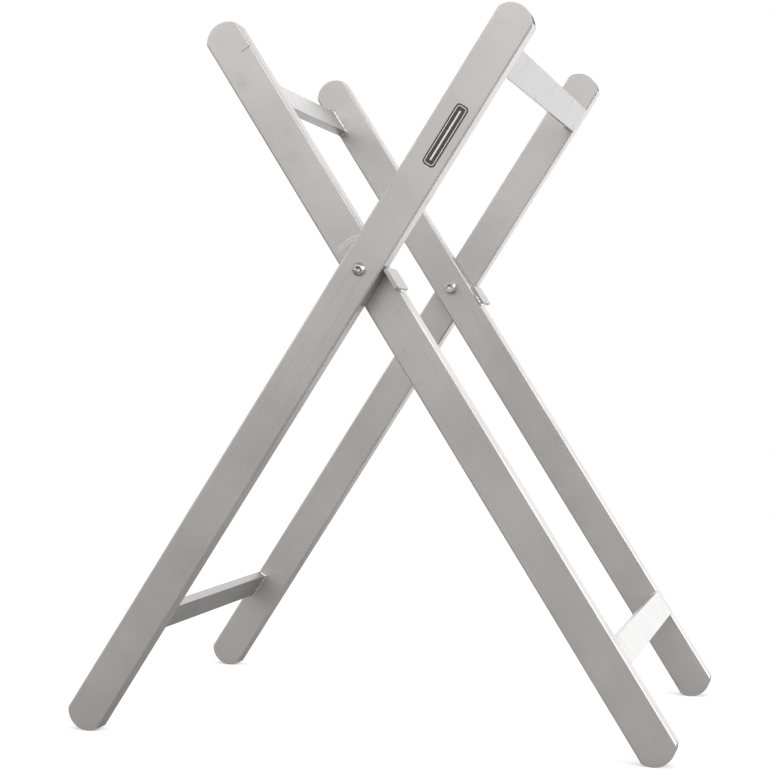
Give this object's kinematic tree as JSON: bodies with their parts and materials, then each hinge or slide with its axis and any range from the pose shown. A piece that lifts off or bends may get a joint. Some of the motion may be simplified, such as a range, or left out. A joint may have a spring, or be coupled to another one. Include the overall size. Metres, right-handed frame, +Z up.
{
  "type": "folding sawhorse",
  "caption": "Folding X-frame trestle of aluminium tube: an inner and an outer frame cross on pivot bolts, open against stop tabs and fold flat.",
  "frame": {"origin": "on the floor, midway between the four feet of the open trestle", "axes": "+Z up; +Y along the pivot axis towards the rear legs; +X across the open legs, towards the top of the outer frame"},
  "size_m": [0.6284, 0.4328, 0.7348],
  "materials": {
    "leg_tube": "satin, fine lengthwise grain",
    "bar": "satin flat bar",
    "weld": "bright weld bead",
    "fastener": "bright stainless",
    "end_plug": "black moulded",
    "bush": "turned bearing bronze",
    "nylon": "natural nylon",
    "label": "plain black vinyl"
  },
  "bodies": {
    "outer_frame": {"front_outer_leg": "leg_tube", "rear_outer_leg": "leg_tube", "outer_upper_crossbar": "bar", "outer_lower_crossbar": "bar", "front_outer_top_plug": "end_plug", "front_outer_foot_plug": "end_plug", "rear_outer_top_plug": "end_plug", "rear_outer_foot_plug": "end_plug", "front_outer_sleeve": "fastener", "rear_outer_sleeve": "fastener", "front_pivot_bolt": "fastener", "rear_pivot_bolt": "fastener", "front_spacer_washer": "nylon", "rear_spacer_washer": "nylon", "front_lock_nut": "fastener", "rear_lock_nut": "fastener", "front_nut_insert": "nylon", "rear_nut_insert": "nylon", "outer_upper_welds": "weld", "outer_lower_welds": "weld", "leg_label": "label"},
    "inner_frame": {"front_inner_leg": "leg_tube", "rear_inner_leg": "leg_tube", "inner_upper_crossbar": "bar", "inner_lower_crossbar": "bar", "front_inner_top_plug": "end_plug", "front_inner_foot_plug": "end_plug", "rear_inner_top_plug": "end_plug", "rear_inner_foot_plug": "end_plug", "front_inner_bush": "bush", "rear_inner_bush": "bush", "front_stop_tab": "bar", "rear_stop_tab": "bar", "inner_upper_welds": "weld", "inner_lower_welds": "weld", "stop_tab_welds": "weld"}
  },
  "joints": [
    {"name": "fold", "type": "hinge", "parent": "outer_frame", "child": "inner_frame", "pos_m": [0, 0, 0.47869], "axis": [0, 1, 0], "range_deg": [0, 62]}
  ]
}
